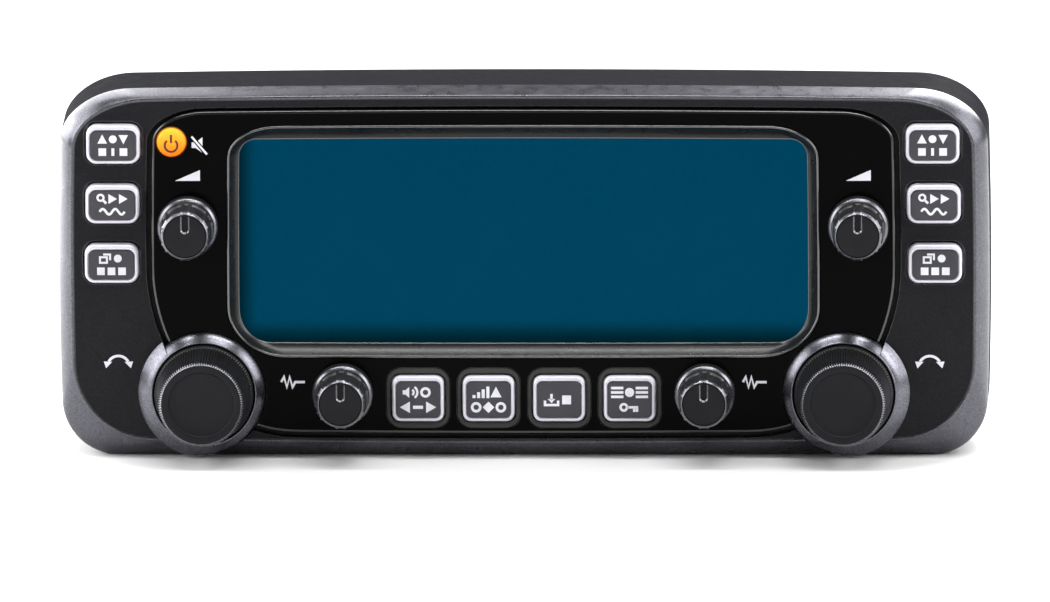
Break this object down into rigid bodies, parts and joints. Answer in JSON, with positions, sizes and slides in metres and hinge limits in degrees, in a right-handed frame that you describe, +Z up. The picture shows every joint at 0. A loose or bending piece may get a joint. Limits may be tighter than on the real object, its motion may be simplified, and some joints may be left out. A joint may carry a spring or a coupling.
{
  "type": "mobile transceiver control head",
  "caption": "Control head of a mobile radio: a wide display between two tuning dials, with small knobs, edge keys, a power button and a rear cable socket.",
  "frame": {"origin": "centre of the footprint, on the surface that the head stands on", "axes": "+X to the right as the user faces the display, +Y from the display to the back, +Z up"},
  "size_m": [0.15, 0.039, 0.0602],
  "materials": {
    "case": "gunmetal metallic paint, satin",
    "gloss_panel": "polished black",
    "bezel": "dark chrome-effect plating",
    "window": "clear acrylic",
    "display": "deep blue liquid-crystal panel, blank",
    "light_guide": "diffusing acrylic",
    "silver_ring": "silver metallic paint",
    "knob": "fine satin",
    "key": "silver paint round a grey face",
    "amber": "amber, translucent",
    "board": "green solder mask",
    "inner_plastic": "moulded black",
    "rubber": "silicone",
    "steel": "plated",
    "screw_steel": "zinc plated",
    "brass": "turned",
    "flex": "polyimide film",
    "label": "blank satin foil"
  },
  "bodies": {
    "case": {"front_case": "case", "rear_cover": "case", "front_panel": "gloss_panel", "display_bezel": "bezel", "display_window": "window", "rating_label": "label", "lcd_panel": "display", "light_guide": "light_guide", "lcd_holder": "inner_plastic", "lcd_flex": "flex", "main_board": "board", "control_jack": "inner_plastic", "dial_encoder_left": "steel", "volume_pot_left": "steel", "squelch_pot_left": "steel", "dial_collar_left": "silver_ring", "key_mat_left": "rubber", "dial_encoder_right": "steel", "volume_pot_right": "steel", "squelch_pot_right": "steel", "dial_collar_right": "silver_ring", "key_mat_right": "rubber", "key_mat_lower": "rubber", "power_switch": "inner_plastic", "cover_screw_1": "screw_steel", "board_screw_1": "screw_steel", "mount_insert_1": "brass", "cover_screw_2": "screw_steel", "board_screw_2": "screw_steel", "mount_insert_2": "brass", "cover_screw_3": "screw_steel", "board_screw_3": "screw_steel", "mount_insert_3": "brass", "cover_screw_4": "screw_steel", "board_screw_4": "screw_steel", "mount_insert_4": "brass"},
    "dial_left": {"dial_knob_left": "knob", "dial_shaft_left": "steel"},
    "volume_left": {"volume_knob_left": "knob", "volume_shaft_left": "steel"},
    "squelch_left": {"squelch_knob_left": "knob", "squelch_shaft_left": "steel"},
    "dial_right": {"dial_knob_right": "knob", "dial_shaft_right": "steel"},
    "volume_right": {"volume_knob_right": "knob", "volume_shaft_right": "steel"},
    "squelch_right": {"squelch_knob_right": "knob", "squelch_shaft_right": "steel"},
    "main_key_left": {"main_key_left": "key"},
    "scan_key_left": {"scan_key_left": "key"},
    "memory_key_left": {"memory_key_left": "key"},
    "main_key_right": {"main_key_right": "key"},
    "scan_key_right": {"scan_key_right": "key"},
    "memory_key_right": {"memory_key_right": "key"},
    "monitor_key": {"monitor_key": "key"},
    "power_level_key": {"power_level_key": "key"},
    "write_key": {"write_key": "key"},
    "menu_key": {"menu_key": "key"},
    "power_button": {"power_button": "amber"}
  },
  "joints": [
    {"name": "dial_turn_left", "type": "hinge", "parent": "case", "child": "dial_left", "pos_m": [-0.0514, 0, 0.0108], "axis": [0, 1, 0], "continuous": true},
    {"name": "volume_turn_left", "type": "hinge", "parent": "case", "child": "volume_left", "pos_m": [-0.0538, 0, 0.038], "axis": [0, 1, 0], "range_deg": [-145, 145]},
    {"name": "squelch_turn_left", "type": "hinge", "parent": "case", "child": "squelch_left", "pos_m": [-0.0291, 0, 0.0107], "axis": [0, 1, 0], "range_deg": [-145, 145]},
    {"name": "dial_turn_right", "type": "hinge", "parent": "case", "child": "dial_right", "pos_m": [0.0514, 0, 0.0108], "axis": [0, 1, 0], "continuous": true},
    {"name": "volume_turn_right", "type": "hinge", "parent": "case", "child": "volume_right", "pos_m": [0.0538, 0, 0.038], "axis": [0, 1, 0], "range_deg": [-145, 145]},
    {"name": "squelch_turn_right", "type": "hinge", "parent": "case", "child": "squelch_right", "pos_m": [0.0291, 0, 0.0107], "axis": [0, 1, 0], "range_deg": [-145, 145]},
    {"name": "main_press_left", "type": "slide", "parent": "case", "child": "main_key_left", "axis": [0, 1, 0], "range_m": [0, 0.0005], "stiffness_N_per_m": 400, "springref_m": -0.001},
    {"name": "scan_press_left", "type": "slide", "parent": "case", "child": "scan_key_left", "axis": [0, 1, 0], "range_m": [0, 0.0005], "stiffness_N_per_m": 400, "springref_m": -0.001},
    {"name": "memory_press_left", "type": "slide", "parent": "case", "child": "memory_key_left", "axis": [0, 1, 0], "range_m": [0, 0.0005], "stiffness_N_per_m": 400, "springref_m": -0.001},
    {"name": "main_press_right", "type": "slide", "parent": "case", "child": "main_key_right", "axis": [0, 1, 0], "range_m": [0, 0.0005], "stiffness_N_per_m": 400, "springref_m": -0.001},
    {"name": "scan_press_right", "type": "slide", "parent": "case", "child": "scan_key_right", "axis": [0, 1, 0], "range_m": [0, 0.0005], "stiffness_N_per_m": 400, "springref_m": -0.001},
    {"name": "memory_press_right", "type": "slide", "parent": "case", "child": "memory_key_right", "axis": [0, 1, 0], "range_m": [0, 0.0005], "stiffness_N_per_m": 400, "springref_m": -0.001},
    {"name": "monitor_press", "type": "slide", "parent": "case", "child": "monitor_key", "axis": [0, 1, 0], "range_m": [0, 0.0005], "stiffness_N_per_m": 400, "springref_m": -0.001},
    {"name": "power_level_press", "type": "slide", "parent": "case", "child": "power_level_key", "axis": [0, 1, 0], "range_m": [0, 0.0005], "stiffness_N_per_m": 400, "springref_m": -0.001},
    {"name": "write_press", "type": "slide", "parent": "case", "child": "write_key", "axis": [0, 1, 0], "range_m": [0, 0.0005], "stiffness_N_per_m": 400, "springref_m": -0.001},
    {"name": "menu_press", "type": "slide", "parent": "case", "child": "menu_key", "axis": [0, 1, 0], "range_m": [0, 0.0005], "stiffness_N_per_m": 400, "springref_m": -0.001},
    {"name": "power_press", "type": "slide", "parent": "case", "child": "power_button", "axis": [0, 1, 0], "range_m": [0, 0.0005], "stiffness_N_per_m": 400, "springref_m": -0.001}
  ]
}
